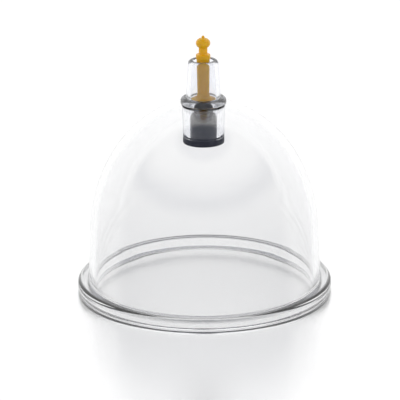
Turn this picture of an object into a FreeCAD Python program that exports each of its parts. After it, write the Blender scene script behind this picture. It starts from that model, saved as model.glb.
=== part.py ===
import FreeCAD, Part
import math
import os

# Vacuum cupping cup: a clear dome with a rolled rim, and a pull-pin valve on its crown.
# Millimetres. The origin is the centre of the rim's resting plane, and +Z is the axis of every piece.

# Dome
rim_radius = 40.0
rim_height = 3.9
rim_top_round = 1.5
rim_bottom_round = 0.9
rim_fillet = 0.4
lip_width = 1.6
lip_height = 0.22
wall = 2.0
wall_draft = math.radians(2.5)
crown_centre = 18.0
crown_radius = 35.9
crown_rise = 43.5
seat_height = 60.66

# Valve body: a nozzle on a bead that sits on the dome, and a tube that hangs inside it.
# The land at the top of the tube is welded into the dome's hole.
nozzle_top = 74.5
nozzle_top_radius = 4.65
nozzle_base_radius = 5.35
nozzle_base_fillet = 0.35
nozzle_shoulder = 1.1
nozzle_mouth_radius = 3.24
nozzle_mouth_edge = 0.2
bead_radius = 7.1
bead_thickness = 1.9
bead_top_round = 1.0
bead_bottom_round = 0.35
land_radius = 6.5
land_bottom = 56.0
weld_gap = 0.03
tube_radius = 6.4
tube_bottom = 49.7
tube_edge = 0.35
bore_radius = 4.15
taper_bottom = 62.8

# Pull pin
pin_travel = 3.0
stop_gap = 0.05
foot_bottom = 61.7
foot_height = 0.6
flare_height = 1.7
stem_radius = 1.85
stem_top_radius = 2.03
collar_bottom = 74.8
collar_height = 1.5
head_radius = 2.25
waist_radius = 1.37
ball_centre = 79.8
ball_half_height = 1.75
nub_radius = 0.45
nub_top = 82.2
tail_radius = 1.3
tail_length = 2.6

# Rubber: the stopper on the pin's tail, and the bung that it closes
stopper_radius = 2.9
stopper_edge = 0.4
rubber_gap = 0.02
seal_gap = 0.05
bung_top = 57.1
bung_top_radius = 3.2
bung_shoulder = 1.8
bung_hole_radius = 1.5
disc_thickness = 1.9
disc_edge = 0.3


def at(radius, height):
    return FreeCAD.Vector(radius, 0, height)


# Each step is a point for a straight run, a (middle, end) pair for an arc, or a ready edge.
def spun(start, *steps):
    edges = []
    here = start
    for step in steps + (start,):
        if isinstance(step, Part.Edge):
            edges.append(step)
            ends = (step.firstVertex().Point, step.lastVertex().Point)
            here = max(ends, key=here.distanceToPoint)
        elif isinstance(step, tuple):
            middle, end = step
            edges.append(Part.Arc(here, middle, end).toShape())
            here = end
        else:
            edges.append(Part.LineSegment(here, step).toShape())
            here = step
    face = Part.Face(Part.Wire(edges))
    return face.revolve(at(0, 0), FreeCAD.Vector(0, 0, 1), 360)


# Rounds the circular edges with the given radii and heights.
def rounded(solid, fillet, *circles):
    picked = []
    for edge in solid.Edges:
        if not isinstance(edge.Curve, Part.Circle):
            continue
        for radius, height in circles:
            off_radius = abs(edge.Curve.Radius - radius)
            off_height = abs(edge.Curve.Center.z - height)
            if off_radius < 0.01 and off_height < 0.01:
                picked.append(edge)
    assert len(picked) == len(circles), (fillet, circles)
    return solid.makeFillet(fillet, picked)


# One skin of the dome. The crown is half an ellipse in section, and the drafted wall leaves it
# along its tangent, so the two meet without a crease.
class Skin:
    def __init__(self, inset):
        self.radius = crown_radius - inset
        self.rise = crown_rise - inset
        self.join_angle = math.atan2(self.radius, self.rise * math.tan(wall_draft))
        self.join = self.crown_point(self.join_angle)

    def crown_point(self, angle):
        return at(self.radius * math.sin(angle), crown_centre + self.rise * math.cos(angle))

    def angle_at_height(self, height):
        return math.acos((height - crown_centre) / self.rise)

    def angle_at_radius(self, radius):
        return math.asin(radius / self.radius)

    def crown_arc(self, first_angle):
        centre = at(0, crown_centre)
        ellipse = Part.Ellipse(self.crown_point(0), self.crown_point(math.pi / 2), centre)
        return Part.Arc(ellipse, first_angle, self.join_angle).toShape()

    # The soft inner edge of the resting face: a quarter of a flat ellipse.
    def lip_arc(self):
        inside = self.wall_point(lip_height)
        centre = at(inside.x + lip_width, lip_height)
        ellipse = Part.Ellipse(inside, at(centre.x, 0), centre)
        return Part.Arc(ellipse, 0, math.pi / 2).toShape()

    def wall_point(self, height):
        spread = (self.join.z - height) * math.tan(wall_draft)
        return at(self.join.x + spread, height)


def make_dome():
    outer = Skin(0)
    inner = Skin(wall)
    hole_radius = land_radius + weld_gap
    seat_angle = outer.angle_at_height(seat_height)
    hole_angle = inner.angle_at_radius(hole_radius)
    rim_corner = outer.wall_point(rim_height)
    lip_start = at(inner.wall_point(lip_height).x + lip_width, 0)
    dome = spun(
        outer.crown_point(seat_angle),
        outer.crown_arc(seat_angle),
        rim_corner,
        at(rim_radius, rim_height),
        at(rim_radius, 0),
        lip_start,
        inner.lip_arc(),
        inner.join,
        inner.crown_arc(hole_angle),
        at(hole_radius, seat_height),
    )
    dome = rounded(dome, rim_fillet, (rim_corner.x, rim_height))
    dome = rounded(dome, rim_top_round, (rim_radius, rim_height))
    return rounded(dome, rim_bottom_round, (rim_radius, 0))


def make_body():
    bead_top = seat_height + bead_thickness
    body = spun(
        at(land_radius, seat_height),
        at(bead_radius, seat_height),
        at(bead_radius, bead_top),
        at(nozzle_base_radius, bead_top),
        at(nozzle_top_radius, nozzle_top),
        at(nozzle_mouth_radius, nozzle_top),
        at(bore_radius, taper_bottom),
        at(bore_radius, tube_bottom),
        at(tube_radius, tube_bottom),
        at(tube_radius, land_bottom),
        at(land_radius, land_bottom),
    )
    body = rounded(body, nozzle_shoulder, (nozzle_top_radius, nozzle_top))
    body = rounded(body, nozzle_mouth_edge, (nozzle_mouth_radius, nozzle_top))
    body = rounded(body, nozzle_base_fillet, (nozzle_base_radius, bead_top))
    body = rounded(body, bead_top_round, (bead_radius, bead_top))
    body = rounded(body, bead_bottom_round, (bead_radius, seat_height))
    return rounded(body, tube_edge, (tube_radius, tube_bottom))


# The foot is as wide as the bore at the top of its travel, so it stops the pin there.
def foot_radius():
    narrowing = (bore_radius - nozzle_mouth_radius) / (nozzle_top - taper_bottom)
    stop_height = foot_bottom + foot_height + pin_travel
    return bore_radius - narrowing * (stop_height - taper_bottom) - stop_gap


def make_pin():
    foot_top = foot_bottom + foot_height
    flare_top = foot_top + flare_height
    flare_middle = at(stem_radius + 0.55, foot_top + 0.5 * flare_height)
    collar_top = collar_bottom + collar_height
    waist_top = ball_centre - ball_half_height * math.sqrt(1 - (waist_radius / head_radius) ** 2)
    waist_bottom = collar_top + 0.5
    ball_first = math.asin(nub_radius / head_radius)
    ball_last = math.pi - math.asin(waist_radius / head_radius)
    ball = Part.Ellipse(
        at(head_radius, ball_centre), at(0, ball_centre + ball_half_height), at(0, ball_centre)
    )
    ball_arc = Part.Arc(ball, math.pi / 2 - ball_last, math.pi / 2 - ball_first).toShape()
    nub_base = ball_centre + ball_half_height * math.cos(ball_first)
    pin = spun(
        at(0, foot_bottom - tail_length),
        at(tail_radius, foot_bottom - tail_length),
        at(tail_radius, foot_bottom),
        at(foot_radius(), foot_bottom),
        at(foot_radius(), foot_top),
        (flare_middle, at(stem_radius, flare_top)),
        at(stem_top_radius, collar_bottom),
        at(head_radius, collar_bottom),
        at(head_radius, collar_top),
        at(waist_radius + 0.5, collar_top),
        at(waist_radius, waist_bottom),
        at(waist_radius, waist_top),
        ball_arc,
        at(nub_radius, nub_base + 0.2),
        at(0, nub_top),
    )
    return rounded(pin, 0.2, (head_radius, collar_bottom), (head_radius, collar_top))


def make_stopper():
    top = foot_bottom
    bottom = bung_top + seal_gap
    socket = tail_radius + rubber_gap
    stopper = spun(
        at(0, bottom),
        at(stopper_radius, bottom),
        at(stopper_radius, top),
        at(socket, top),
        at(socket, top - tail_length - rubber_gap),
        at(0, top - tail_length - rubber_gap),
    )
    return rounded(stopper, stopper_edge, (stopper_radius, bottom))


def make_bung():
    disc_bottom = tube_bottom - disc_thickness
    plug_radius = bore_radius - rubber_gap
    shoulder = at(plug_radius, bung_top - bung_shoulder)
    shoulder_middle = at(plug_radius - 0.22, bung_top - 0.42 * bung_shoulder)
    bung = spun(
        at(bung_hole_radius, disc_bottom),
        at(tube_radius, disc_bottom),
        at(tube_radius, tube_bottom),
        at(plug_radius, tube_bottom),
        shoulder,
        (shoulder_middle, at(bung_top_radius, bung_top)),
        at(bung_hole_radius, bung_top),
    )
    return rounded(bung, disc_edge, (tube_radius, disc_bottom))


pieces = {
    "cup_dome": make_dome(),
    "valve_body": make_body(),
    "pull_pin": make_pin(),
    "pin_stopper": make_stopper(),
    "valve_bung": make_bung(),
}

os.makedirs("parts", exist_ok=True)
for name, piece in pieces.items():
    solid = piece.Solids[0]
    assert piece.isValid() and len(piece.Solids) == 1, name
    solid.exportStep("parts/" + name + ".step")
    print(name, round(solid.Volume, 1), "mm3")
print("foot radius", round(foot_radius(), 3))
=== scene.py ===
import bpy
import bmesh
import math
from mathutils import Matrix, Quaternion, Vector


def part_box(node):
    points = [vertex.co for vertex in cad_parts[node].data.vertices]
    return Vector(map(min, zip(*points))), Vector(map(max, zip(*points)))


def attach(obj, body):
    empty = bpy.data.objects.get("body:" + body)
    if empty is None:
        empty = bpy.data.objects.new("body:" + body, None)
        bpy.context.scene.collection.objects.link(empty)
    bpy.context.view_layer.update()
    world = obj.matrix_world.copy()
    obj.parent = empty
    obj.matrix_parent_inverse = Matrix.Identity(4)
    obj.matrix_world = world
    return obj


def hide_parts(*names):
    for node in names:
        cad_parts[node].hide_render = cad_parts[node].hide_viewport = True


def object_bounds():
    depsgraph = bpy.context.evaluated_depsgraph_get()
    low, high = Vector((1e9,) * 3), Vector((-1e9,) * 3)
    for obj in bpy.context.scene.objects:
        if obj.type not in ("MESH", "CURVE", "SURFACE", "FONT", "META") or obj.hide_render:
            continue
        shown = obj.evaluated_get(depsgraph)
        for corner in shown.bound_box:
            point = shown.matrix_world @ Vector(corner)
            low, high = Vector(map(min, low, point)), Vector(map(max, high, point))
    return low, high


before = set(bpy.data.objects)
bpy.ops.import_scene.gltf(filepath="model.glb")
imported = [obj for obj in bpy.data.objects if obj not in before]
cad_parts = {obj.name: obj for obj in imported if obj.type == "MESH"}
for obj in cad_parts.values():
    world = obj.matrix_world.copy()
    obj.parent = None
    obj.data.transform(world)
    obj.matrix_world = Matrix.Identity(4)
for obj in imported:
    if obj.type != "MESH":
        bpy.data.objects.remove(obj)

cadLow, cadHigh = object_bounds()
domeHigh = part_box("cup_dome")[1]
bodyLow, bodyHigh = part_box("valve_body")
pinLow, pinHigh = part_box("pull_pin")
stopperLow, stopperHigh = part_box("pin_stopper")
bungLow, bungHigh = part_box("valve_bung")

mm = 0.001

# Metres, unless a line says otherwise
cameraSetup = {
    "elevation": 20.6,       # degrees above the rim's plane
    "distance": 0.85,
    "aim": (-0.00127, 0, 0.0289),
    "lens": 241.36,          # millimetres, as is the sensor
    "sensor": 36,
    "farthest": 50,
    "roll": 0.4,             # degrees
}


def makeCamera(setup):
    lens = bpy.data.cameras.new("camera")
    lens.lens = setup["lens"]
    lens.sensor_width = setup["sensor"]
    lens.clip_end = setup["farthest"]
    camera = bpy.data.objects.new("camera", lens)
    bpy.context.scene.collection.objects.link(camera)
    tilt = math.radians(setup["elevation"])
    aim = Vector(setup["aim"])
    reach = setup["distance"]
    camera.location = (aim.x, -reach * math.cos(tilt), reach * math.sin(tilt))
    facing = (aim - camera.location).to_track_quat("-Z", "Y")
    roll = Quaternion((0, 0, 1), math.radians(-setup["roll"]))
    camera.rotation_euler = (facing @ roll).to_euler()
    bpy.context.scene.camera = camera


print("camera")
makeCamera(cameraSetup)


def newMaterial(name):
    material = bpy.data.materials.new(name)
    material.use_nodes = True
    tree = material.node_tree
    tree.nodes.clear()
    out = tree.nodes.new("ShaderNodeOutputMaterial")
    shader = tree.nodes.new("ShaderNodeBsdfPrincipled")
    tree.links.new(shader.outputs["BSDF"], out.inputs["Surface"])
    return material, tree, shader


floorSetup = {
    "size": 6.0,
    "drop": 0.00005,         # keeps the rim clear of the floor
    "colour": 0.93,
    "roughness": 0.24,
    "steepMirror": 0.1,      # a white acrylic sheet, mostly a mirror at low angles only
    "lowMirror": 0.92,
    "mirrorFrom": 0.3,
    "mirrorTo": 0.6,
    "glow": 0.07,            # light that the sheet carries under the cup
}


def makeFloor(setup):
    bm = bmesh.new()
    bmesh.ops.create_grid(bm, x_segments=1, y_segments=1, size=setup["size"] / 2)
    bmesh.ops.translate(bm, vec=(0, 0, cadLow[2] - setup["drop"]), verts=bm.verts)
    mesh = bpy.data.meshes.new("floor")
    bm.to_mesh(mesh)
    bm.free()
    floor = bpy.data.objects.new("floor", mesh)
    bpy.context.scene.collection.objects.link(floor)
    material, tree, shader = newMaterial("whiteAcrylic")
    tone = setup["colour"]
    shader.inputs["Base Color"].default_value = (tone, tone, tone, 1)
    shader.inputs["Roughness"].default_value = setup["roughness"]
    shader.inputs["Emission Color"].default_value = (1, 1, 1, 1)
    shader.inputs["Emission Strength"].default_value = setup["glow"]
    facing = tree.nodes.new("ShaderNodeLayerWeight")
    mirror = tree.nodes.new("ShaderNodeMapRange")
    tree.links.new(facing.outputs["Facing"], mirror.inputs["Value"])
    mirror.inputs["From Min"].default_value = setup["mirrorFrom"]
    mirror.inputs["From Max"].default_value = setup["mirrorTo"]
    mirror.inputs["To Min"].default_value = setup["steepMirror"]
    mirror.inputs["To Max"].default_value = setup["lowMirror"]
    tree.links.new(mirror.outputs[0], shader.inputs["Metallic"])
    mesh.materials.append(material)


print("floor")
makeFloor(floorSetup)


# A bright curved sweep fills the back of the studio. The front is grey low down and has a softbox
# high up, with a dark band below it and a dark gap above it. Heights run from 0 to 1, straight up.
studioSetup = {
    "sweep": 1.04,
    "sweepTop": 1.3,
    "sweepFrom": 0.3,
    "sweepTo": 0.8,
    "edgeLean": 0.35,        # how far back the sweep's edge goes as it rises
    "edgeBlur": 0.03,
    "front": 0.78,
    "dark": (0.06, 0.08, 0.17),
    "darkFrom": 0.25,
    "darkTo": 0.5,
    "box": 0.9,
    "boxFrom": 0.45,
    "boxTo": 0.75,
    "gapFrom": 0.87,
    "gapTo": 0.95,
    "seen": 1.05,            # the plain white behind the cup
    "clearBounces": 32,
    "glossyBounces": 16,
}


def makeStudio(setup):
    world = bpy.data.worlds.new("studio")
    bpy.context.scene.world = world
    world.use_nodes = True
    tree = world.node_tree
    tree.nodes.clear()
    n = tree.nodes.new
    link = tree.links.new

    def ramp(value, low, high):
        span = n("ShaderNodeMapRange")
        span.interpolation_type = "SMOOTHSTEP"
        link(value, span.inputs["Value"])
        span.inputs["From Min"].default_value = low
        span.inputs["From Max"].default_value = high
        return span.outputs[0]

    def plain(value):
        return (value, value, value)

    def blend(factor, first, second):
        mix = n("ShaderNodeMix")
        mix.data_type = "RGBA"
        link(factor, mix.inputs["Factor"])
        for socket, colour in ((mix.inputs["A"], first), (mix.inputs["B"], second)):
            if isinstance(colour, tuple):
                socket.default_value = (*colour, 1)
            else:
                link(colour, socket)
        return mix.outputs["Result"]

    coord = n("ShaderNodeTexCoord")
    split = n("ShaderNodeSeparateXYZ")
    link(coord.outputs["Generated"], split.inputs[0])
    height = split.outputs["Z"]
    front = plain(setup["front"])
    front = blend(ramp(height, setup["darkFrom"], setup["darkTo"]), front, setup["dark"])
    front = blend(ramp(height, setup["boxFrom"], setup["boxTo"]), front, plain(setup["box"]))
    front = blend(ramp(height, setup["gapFrom"], setup["gapTo"]), front, setup["dark"])
    rise = ramp(height, setup["sweepFrom"], setup["sweepTo"])
    sweep = blend(rise, plain(setup["sweep"]), plain(setup["sweepTop"]))
    behind = n("ShaderNodeMath")             # above zero behind the sweep's edge
    behind.operation = "MULTIPLY_ADD"
    link(height, behind.inputs[0])
    behind.inputs[1].default_value = -setup["edgeLean"]
    link(split.outputs["Y"], behind.inputs[2])
    lit = n("ShaderNodeBackground")
    edge = ramp(behind.outputs[0], -setup["edgeBlur"], setup["edgeBlur"])
    link(blend(edge, front, sweep), lit.inputs["Color"])
    seen = n("ShaderNodeBackground")
    seen.inputs["Color"].default_value = (1, 1, 1, 1)
    seen.inputs["Strength"].default_value = setup["seen"]
    path = n("ShaderNodeLightPath")
    mix = n("ShaderNodeMixShader")
    link(path.outputs["Is Camera Ray"], mix.inputs[0])
    link(lit.outputs[0], mix.inputs[1])
    link(seen.outputs[0], mix.inputs[2])
    out = n("ShaderNodeOutputWorld")
    link(mix.outputs[0], out.inputs["Surface"])
    scene = bpy.context.scene
    scene.view_settings.view_transform = "Standard"
    scene.view_settings.look = "None"
    scene.cycles.max_bounces = setup["clearBounces"]
    scene.cycles.transmission_bounces = setup["clearBounces"]
    scene.cycles.glossy_bounces = setup["glossyBounces"]
    scene.cycles.transparent_max_bounces = setup["glossyBounces"]


print("studio")
makeStudio(studioSetup)


mergeDistance = 0.000001


# An outline is a list of (radius, height) points in millimetres. It is spun about the Z axis;
# a closed outline makes a ring, an open one starts and ends on the axis.
def turnedPiece(name, outline, closed=True, steps=128, longest=0.9, crease=28):
    bm = bmesh.new()
    verts = [bm.verts.new((radius * mm, 0, height * mm)) for radius, height in outline]
    edges = [bm.edges.new(pair) for pair in zip(verts, verts[1:])]
    if closed:
        edges.append(bm.edges.new((verts[-1], verts[0])))
    for edge in edges:
        cuts = math.ceil(edge.calc_length() / (longest * mm)) - 1
        if cuts > 0:
            bmesh.ops.subdivide_edges(bm, edges=[edge], cuts=cuts)
    bmesh.ops.spin(
        bm, geom=list(bm.verts) + list(bm.edges), cent=(0, 0, 0), axis=(0, 0, 1), angle=2 * math.pi,
        steps=steps, use_merge=True,
    )
    bmesh.ops.remove_doubles(bm, verts=bm.verts, dist=mergeDistance)
    bmesh.ops.recalc_face_normals(bm, faces=bm.faces)
    mesh = bpy.data.meshes.new(name)
    bm.to_mesh(mesh)
    bm.free()
    mesh.shade_smooth()
    mesh.set_sharp_from_angle(angle=math.radians(crease))
    piece = bpy.data.objects.new(name, mesh)
    bpy.context.scene.collection.objects.link(piece)
    print(name, len(mesh.polygons), "faces")
    return piece


# Points of an arc about a centre, from one angle to another: 0 degrees is outwards, 90 is up.
def arc(radius, height, size, first, last, steps, tall=None):
    tall = size if tall is None else tall
    turns = [math.radians(first + (last - first) * i / steps) for i in range(steps + 1)]
    return [(radius + size * math.cos(turn), height + tall * math.sin(turn)) for turn in turns]


# Shader effects that several materials share
def newGroup(name, inputs, outputs):
    group = bpy.data.node_groups.new(name, "ShaderNodeTree")
    for label, kind, value in inputs:
        socket = group.interface.new_socket(name=label, in_out="INPUT", socket_type=kind)
        socket.default_value = value
    for label, kind in outputs:
        group.interface.new_socket(name=label, in_out="OUTPUT", socket_type=kind)
    return group, group.nodes.new("NodeGroupInput"), group.nodes.new("NodeGroupOutput")


def placeGroup(tree, group, **values):
    node = tree.nodes.new("ShaderNodeGroup")
    node.node_tree = group
    for label, value in values.items():
        node.inputs[label].default_value = value
    return node


# Moulded grain: slow changes of tone, a fine texture for bump, and the mask of rubbed spots.
def makeGrainGroup():
    group, given, made = newGroup(
        "mouldedGrain",
        [
            ("Scale", "NodeSocketFloat", 900.0),
            ("Drift", "NodeSocketFloat", 120.0),
            ("Rubbed", "NodeSocketFloat", 0.5),
        ],
        [("Tone", "NodeSocketFloat"), ("Height", "NodeSocketFloat"), ("Rub", "NodeSocketFloat")],
    )
    n = group.nodes.new
    link = group.links.new
    coord = n("ShaderNodeTexCoord")
    drift = n("ShaderNodeTexNoise")
    drift.inputs["Detail"].default_value = 3
    link(coord.outputs["Object"], drift.inputs["Vector"])
    link(given.outputs["Drift"], drift.inputs["Scale"])
    fine = n("ShaderNodeTexNoise")
    fine.inputs["Detail"].default_value = 5
    fine.inputs["Roughness"].default_value = 0.65
    link(coord.outputs["Object"], fine.inputs["Vector"])
    link(given.outputs["Scale"], fine.inputs["Scale"])
    rub = n("ShaderNodeMapRange")
    rub.interpolation_type = "SMOOTHSTEP"
    rub.inputs["From Max"].default_value = 0.75
    link(fine.outputs["Fac"], rub.inputs["Value"])
    link(given.outputs["Rubbed"], rub.inputs["From Min"])
    link(drift.outputs["Fac"], made.inputs["Tone"])
    link(fine.outputs["Fac"], made.inputs["Height"])
    link(rub.outputs[0], made.inputs["Rub"])
    return group


# Marks on clear plastic: faint hairlines, cloudy smudges, and the slow waviness of a moulding.
def makeHandlingGroup():
    group, given, made = newGroup(
        "handlingMarks",
        [("Hairlines", "NodeSocketFloat", 0.7), ("Smudge Scale", "NodeSocketFloat", 45.0)],
        [("Line", "NodeSocketFloat"), ("Smudge", "NodeSocketFloat"), ("Wave", "NodeSocketFloat")],
    )
    n = group.nodes.new
    link = group.links.new
    coord = n("ShaderNodeTexCoord")
    turn = n("ShaderNodeMapping")
    turn.inputs["Rotation"].default_value = (0.5, 0.9, 0.2)
    turn.inputs["Scale"].default_value = (40, 1600, 300)
    link(coord.outputs["Object"], turn.inputs["Vector"])
    lines = n("ShaderNodeTexNoise")
    lines.inputs["Scale"].default_value = 1.0
    lines.inputs["Detail"].default_value = 2
    link(turn.outputs[0], lines.inputs["Vector"])
    pick = n("ShaderNodeMapRange")
    pick.inputs["From Max"].default_value = 0.9
    link(lines.outputs["Fac"], pick.inputs["Value"])
    link(given.outputs["Hairlines"], pick.inputs["From Min"])
    smudge = n("ShaderNodeTexNoise")
    smudge.inputs["Detail"].default_value = 4
    link(coord.outputs["Object"], smudge.inputs["Vector"])
    link(given.outputs["Smudge Scale"], smudge.inputs["Scale"])
    wave = n("ShaderNodeTexNoise")
    wave.inputs["Scale"].default_value = 60
    wave.inputs["Detail"].default_value = 0
    link(coord.outputs["Object"], wave.inputs["Vector"])
    link(pick.outputs[0], made.inputs["Line"])
    link(smudge.outputs["Fac"], made.inputs["Smudge"])
    link(wave.outputs["Fac"], made.inputs["Wave"])
    return group


print("shader groups")
mouldedGrain = makeGrainGroup()
handlingMarks = makeHandlingGroup()


# A value from 0 to 1 picks between two colours or two numbers.
def colourBetween(tree, value, first, second):
    mix = tree.nodes.new("ShaderNodeMix")
    mix.data_type = "RGBA"
    tree.links.new(value, mix.inputs["Factor"])
    mix.inputs["A"].default_value = (*first, 1)
    mix.inputs["B"].default_value = (*second, 1)
    return mix.outputs["Result"]


def numberBetween(tree, value, first, second):
    span = tree.nodes.new("ShaderNodeMapRange")
    tree.links.new(value, span.inputs["Value"])
    span.inputs["To Min"].default_value = first
    span.inputs["To Max"].default_value = second
    return span.outputs[0]


def addBump(tree, shader, height, strength, distance):
    bump = tree.nodes.new("ShaderNodeBump")
    bump.inputs["Strength"].default_value = strength
    bump.inputs["Distance"].default_value = distance
    tree.links.new(height, bump.inputs["Height"])
    tree.links.new(bump.outputs[0], shader.inputs["Normal"])


# How far a surface turns away from the viewer, from 0 to 1 over its last part; it masks the painted
# shade of the clear plastics.
def paintedShadeMask(tree, first=0.62, last=0.97):
    facing = tree.nodes.new("ShaderNodeLayerWeight")
    facing.inputs["Blend"].default_value = 0.5
    span = tree.nodes.new("ShaderNodeMapRange")
    span.interpolation_type = "SMOOTHSTEP"
    tree.links.new(facing.outputs["Facing"], span.inputs["Value"])
    span.inputs["From Min"].default_value = first
    span.inputs["From Max"].default_value = last
    return span.outputs[0]


# The object's height, from 0 at the first one to 1 at the second.
def heightBetween(tree, first, last):
    spot = tree.nodes.new("ShaderNodeTexCoord")
    split = tree.nodes.new("ShaderNodeSeparateXYZ")
    tree.links.new(spot.outputs["Object"], split.inputs[0])
    span = tree.nodes.new("ShaderNodeMapRange")
    tree.links.new(split.outputs["Z"], span.inputs["Value"])
    span.inputs["From Min"].default_value = first * mm
    span.inputs["From Max"].default_value = last * mm
    return span.outputs[0]


def tintedTowards(tree, value, colour, tint):
    mix = tree.nodes.new("ShaderNodeMix")
    mix.data_type = "RGBA"
    tree.links.new(value, mix.inputs["Factor"])
    tree.links.new(colour, mix.inputs["A"])
    mix.inputs["B"].default_value = (*tint, 1)
    return mix.outputs["Result"]


def clearPlastic(name, look):
    material, tree, shader = newMaterial(name)
    marks = placeGroup(tree, handlingMarks, Hairlines=look["hairlines"])
    colour = colourBetween(tree, marks.outputs["Smudge"], look["clean"], look["cloudy"])
    # Painted shade: the colour darkens towards the look's edge colour where the surface turns away
    # from the viewer.
    colour = tintedTowards(tree, paintedShadeMask(tree), colour, look["edge"])
    # Painted light: the colour whitens towards the crown colour higher up, so the top looks
    # brighter.
    if "crown" in look:
        rise = heightBetween(tree, look["crownFrom"], look["crownTo"])
        colour = tintedTowards(tree, rise, colour, look["crown"])
    tree.links.new(colour, shader.inputs["Base Color"])
    tree.links.new(numberBetween(tree, marks.outputs["Line"], 0.0, 0.08), shader.inputs["Roughness"])
    shader.inputs["IOR"].default_value = 1.58
    shader.inputs["Transmission Weight"].default_value = 1.0
    addBump(tree, shader, marks.outputs["Wave"], 1.0, look["wave"])
    return material


def mouldedYellow(look):
    material, tree, shader = newMaterial("mouldedYellow")
    grain = placeGroup(tree, mouldedGrain, Scale=1500.0, Drift=260.0, Rubbed=0.55)
    colour = colourBetween(tree, grain.outputs["Tone"], look["deep"], look["bright"])
    tree.links.new(colour, shader.inputs["Base Color"])
    tree.links.new(numberBetween(tree, grain.outputs["Rub"], 0.26, 0.42), shader.inputs["Roughness"])
    shader.inputs["IOR"].default_value = 1.49
    shader.inputs["Subsurface Weight"].default_value = 0.25
    shader.inputs["Subsurface Radius"].default_value = (1.0, 0.45, 0.05)
    shader.inputs["Subsurface Scale"].default_value = 0.0012
    addBump(tree, shader, grain.outputs["Height"], 0.35, 0.00002)
    return material


def blackRubber(name, look):
    material, tree, shader = newMaterial(name)
    grain = placeGroup(tree, mouldedGrain, Scale=1100.0, Drift=180.0, Rubbed=0.5)
    colour = colourBetween(tree, grain.outputs["Rub"], look["dark"], look["worn"])
    tree.links.new(colour, shader.inputs["Base Color"])
    matt = look["roughness"]
    roughness = numberBetween(tree, grain.outputs["Tone"], matt - 0.08, matt + 0.1)
    tree.links.new(roughness, shader.inputs["Roughness"])
    shader.inputs["IOR"].default_value = 1.52
    addBump(tree, shader, grain.outputs["Height"], 0.5, 0.00004)
    return material


domeShape = {
    "rimHeight": 3.9,
    "topRound": 1.5,
    "bottomRound": 0.9,
    "fillet": 0.4,
    "lipWidth": 1.6,
    "lipHeight": 0.22,
    "wall": 2.0,
    "draft": 2.5,            # degrees
    "crownCentre": 18.0,
    "crownRadius": 35.9,
    "crownRise": 43.5,
    "holeRadius": 6.53,
}

# Painted shade: the plastic's colour is greyer where it turns away from the viewer. Painted light:
# the colour whitens towards the crown, so the crown looks brighter (heights in millimetres).
domeLook = {
    "clean": (0.905, 0.906, 0.908),
    "cloudy": (0.893, 0.895, 0.9),
    "edge": (0.88, 0.885, 0.91),
    # Painted light: a whiter colour towards the crown, between the two heights below.
    "crown": (0.985, 0.986, 0.988),
    "crownFrom": 16,
    "crownTo": 52,
    "hairlines": 0.72,
    "wave": 0.000004,
}


# The crown is half an ellipse in section, and the drafted wall leaves it along its tangent.
def domeOutline(s):
    slope = math.tan(math.radians(s["draft"]))
    rimRadius = domeHigh[0] / mm
    seat = domeHigh[2] / mm

    def crown(inset, first, last, steps=60):
        wide, tall = s["crownRadius"] - inset, s["crownRise"] - inset
        turns = [first + (last - first) * i / steps for i in range(steps + 1)]
        return [(wide * math.sin(turn), s["crownCentre"] + tall * math.cos(turn)) for turn in turns]

    def joinTurn(inset):
        return math.atan2(s["crownRadius"] - inset, (s["crownRise"] - inset) * slope)

    seatTurn = math.acos((seat - s["crownCentre"]) / s["crownRise"])
    holeTurn = math.asin(s["holeRadius"] / (s["crownRadius"] - s["wall"]))
    outer = crown(0, seatTurn, joinTurn(0))
    inner = crown(s["wall"], joinTurn(s["wall"]), holeTurn)
    fillet = s["fillet"]
    top, bottom = s["topRound"], s["bottomRound"]
    lip, lipHeight = s["lipWidth"], s["lipHeight"]
    filletHeight = s["rimHeight"] + fillet

    def wallRadius(join, height):
        return join[0] + (join[1] - height) * slope

    filletRadius = wallRadius(outer[-1], filletHeight) + fillet
    lipRadius = wallRadius(inner[0], lipHeight) + lip
    outline = [(s["holeRadius"], seat)] + outer
    outline += arc(filletRadius, filletHeight, fillet, 180 + s["draft"], 270, 8)
    outline += arc(rimRadius - top, s["rimHeight"] - top, top, 90, 0, 18)
    outline += arc(rimRadius - bottom, bottom, bottom, 0, -90, 12)
    outline += arc(lipRadius, lipHeight, lip, 270, 180, 12, tall=lipHeight)
    return outline + inner


print("dome")
dome = turnedPiece("clear_dome", domeOutline(domeShape), steps=320)
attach(dome, "cup")
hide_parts("cup_dome")
dome.data.materials.append(clearPlastic("clearPolycarbonate", domeLook))

bodyShape = {
    "topRadius": 4.65,
    "baseRadius": 5.35,
    "coneLean": 3,           # degrees
    "shoulder": 1.1,
    "shoulderShift": 0.05,   # keeps the shoulder level with the leaning side
    "baseFillet": 0.35,
    "mouthRadius": 3.24,
    "mouthEdge": 0.2,
    "beadThickness": 1.9,
    "beadTopRound": 1.0,
    "beadBottomRound": 0.35,
    "landRadius": 6.5,
    "landBottom": 56.0,
    "landStep": 0.1,
    "tubeRadius": 6.4,
    "tubeEdge": 0.35,
    "boreRadius": 4.15,
    "taperBottom": 62.8,
}

valveLook = {
    "clean": (0.95, 0.955, 0.975),
    "cloudy": (0.935, 0.945, 0.97),
    # Painted shade: the valve plastic's colour turns a dark steel blue where it turns away from the
    # viewer.
    "edge": (0.3, 0.33, 0.46),
    "hairlines": 0.74,
    "wave": 0.000003,
}


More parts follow.
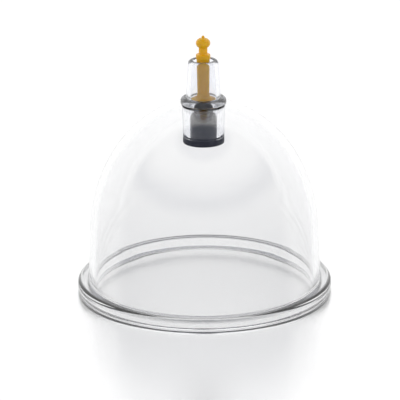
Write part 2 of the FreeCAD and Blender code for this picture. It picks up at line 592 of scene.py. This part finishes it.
def bodyOutline(s):
    top, bottom = bodyHigh[2] / mm, bodyLow[2] / mm
    beadRadius = bodyHigh[0] / mm
    seat = domeHigh[2] / mm
    beadTop = seat + s["beadThickness"]
    over, under = s["beadTopRound"], s["beadBottomRound"]
    base, shoulder, lean = s["baseFillet"], s["shoulder"], s["coneLean"]
    edge, tube = s["mouthEdge"], s["tubeEdge"]
    shoulderRadius = s["topRadius"] - shoulder + s["shoulderShift"]
    outline = [(s["landRadius"], seat)]
    outline += arc(beadRadius - under, seat + under, under, -90, 0, 8)
    outline += arc(beadRadius - over, beadTop - over, over, 0, 90, 12)
    outline += arc(s["baseRadius"] + base, beadTop + base, base, 270, 180 + lean, 6)
    outline += arc(shoulderRadius, top - shoulder, shoulder, lean, 90, 14)
    outline += arc(s["mouthRadius"] + edge, top - edge, edge, 90, 180, 5)
    outline += [(s["boreRadius"], s["taperBottom"]), (s["boreRadius"], bottom)]
    outline += arc(s["tubeRadius"] - tube, bottom + tube, tube, -90, 0, 6)
    outline += [(s["tubeRadius"], s["landBottom"] - s["landStep"])]
    return outline + [(s["landRadius"], s["landBottom"])]


print("valve body")
body = turnedPiece("clear_valve_body", bodyOutline(bodyShape), steps=224)
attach(body, "cup")
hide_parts("valve_body")
body.data.materials.append(clearPlastic("clearValvePlastic", valveLook))

pinShape = {
    "tailRadius": 1.3,
    "tailLength": 2.6,
    "tailEdge": 0.15,
    "footHeight": 0.6,
    "footEdge": 0.12,
    "flareHeight": 1.7,
    "stemRadius": 1.85,
    "stemTopRadius": 2.03,
    "collarBottom": 74.8,
    "collarHeight": 1.5,
    "collarEdge": 0.2,
    "headRadius": 2.25,
    "waistRadius": 1.37,
    "waistFillet": 0.5,
    "ballCentre": 79.8,
    "ballHalfHeight": 1.75,
    "nubRadius": 0.45,
    "nubHeight": 0.2,
    "nubRound": 0.25,
    "nubTipRadius": 0.42,
}

pinLook = {
    "deep": (0.97, 0.47, 0.001),
    "bright": (1.0, 0.57, 0.002),
}


def pinOutline(s):
    bottom, top = pinLow[2] / mm, pinHigh[2] / mm
    footRadius = pinHigh[0] / mm
    foot = bottom + s["tailLength"]
    footTop = foot + s["footHeight"]
    flareTop = footTop + s["flareHeight"]
    collar, edge = s["collarBottom"], s["collarEdge"]
    collarTop = collar + s["collarHeight"]
    head, waist, waistFillet = s["headRadius"], s["waistRadius"], s["waistFillet"]
    waistTurn = math.degrees(math.acos(waist / head))
    nubTurn = math.degrees(math.acos(s["nubRadius"] / head))
    tail, tailEdge, footEdge = s["tailRadius"], s["tailEdge"], s["footEdge"]
    outline = [(0, bottom)] + arc(tail - tailEdge, bottom + tailEdge, tailEdge, -90, 0, 4)
    outline += [(tail, foot)]
    outline += arc(footRadius - footEdge, foot + footEdge, footEdge, -90, 0, 4)
    outline += arc(footRadius - footEdge, footTop - footEdge, footEdge, 0, 90, 4)
    reach = footRadius - footEdge - s["stemRadius"]
    outline += arc(s["stemRadius"] + reach, flareTop, reach, 268, 180, 14, tall=s["flareHeight"])
    outline += [(s["stemTopRadius"], collar)]
    outline += arc(head - edge, collar + edge, edge, -90, 0, 5)
    outline += arc(head - edge, collarTop - edge, edge, 0, 90, 5)
    outline += arc(waist + waistFillet, collarTop + waistFillet, waistFillet, 270, 180, 6)
    outline += arc(0, s["ballCentre"], head, -waistTurn, nubTurn, 26, tall=s["ballHalfHeight"])
    nubBase = s["ballCentre"] + s["ballHalfHeight"] * math.sin(math.radians(nubTurn))
    nubRound = s["nubRound"]
    outline += [(s["nubRadius"], nubBase + s["nubHeight"])]
    return outline + arc(0, top - nubRound, s["nubTipRadius"], 0, 90, 5, tall=nubRound)


print("pull pin")
pin = turnedPiece("yellow_pull_pin", pinOutline(pinShape), closed=False, steps=96, longest=0.5)
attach(pin, "pin")
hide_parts("pull_pin")
pin.data.materials.append(mouldedYellow(pinLook))

stopperShape = {
    "edge": 0.4,
    "topEdge": 0.15,
    "socketRadius": 1.32,
    "socketDepth": 2.62,
}

stopperLook = {
    "dark": (0.012, 0.011, 0.012),
    "worn": (0.03, 0.029, 0.03),
    "roughness": 0.5,
}


def stopperOutline(s):
    bottom, top = stopperLow[2] / mm, stopperHigh[2] / mm
    radius = stopperHigh[0] / mm
    edge, topEdge = s["edge"], s["topEdge"]
    socketBottom = top - s["socketDepth"]
    outline = [(0, bottom)] + arc(radius - edge, bottom + edge, edge, -90, 0, 8)
    outline += arc(radius - topEdge, top - topEdge, topEdge, 0, 90, 4)
    outline += [(s["socketRadius"], top), (s["socketRadius"], socketBottom)]
    return outline + [(0, socketBottom)]


print("stopper")
stopper = turnedPiece(
    "rubber_pin_stopper", stopperOutline(stopperShape), closed=False, steps=96, longest=0.5,
)
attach(stopper, "pin")
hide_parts("pin_stopper")
stopper.data.materials.append(blackRubber("stopperRubber", stopperLook))

bungShape = {
    "plugRadius": 4.13,
    "topRadius": 3.2,
    "shoulder": 1.8,
    "holeRadius": 1.5,
    "discThickness": 1.9,
    "discEdge": 0.3,
}

bungLook = {
    "dark": (0.016, 0.016, 0.018),
    "worn": (0.04, 0.04, 0.043),
    "roughness": 0.45,
}


def bungOutline(s):
    bottom, top = bungLow[2] / mm, bungHigh[2] / mm
    discRadius = bungHigh[0] / mm
    discTop = bottom + s["discThickness"]
    edge, plug, shoulder = s["discEdge"], s["plugRadius"], s["shoulder"]
    outline = [(s["holeRadius"], bottom)]
    outline += arc(discRadius - edge, bottom + edge, edge, -90, 0, 6)
    outline += [(discRadius, discTop), (plug, discTop)]
    outline += arc(s["topRadius"], top - shoulder, plug - s["topRadius"], 0, 90, 14, tall=shoulder)
    return outline + [(s["holeRadius"], top)]


print("bung")
bung = turnedPiece("rubber_valve_bung", bungOutline(bungShape), steps=128, longest=0.5)
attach(bung, "cup")
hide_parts("valve_bung")
bung.data.materials.append(blackRubber("bungRubber", bungLook))
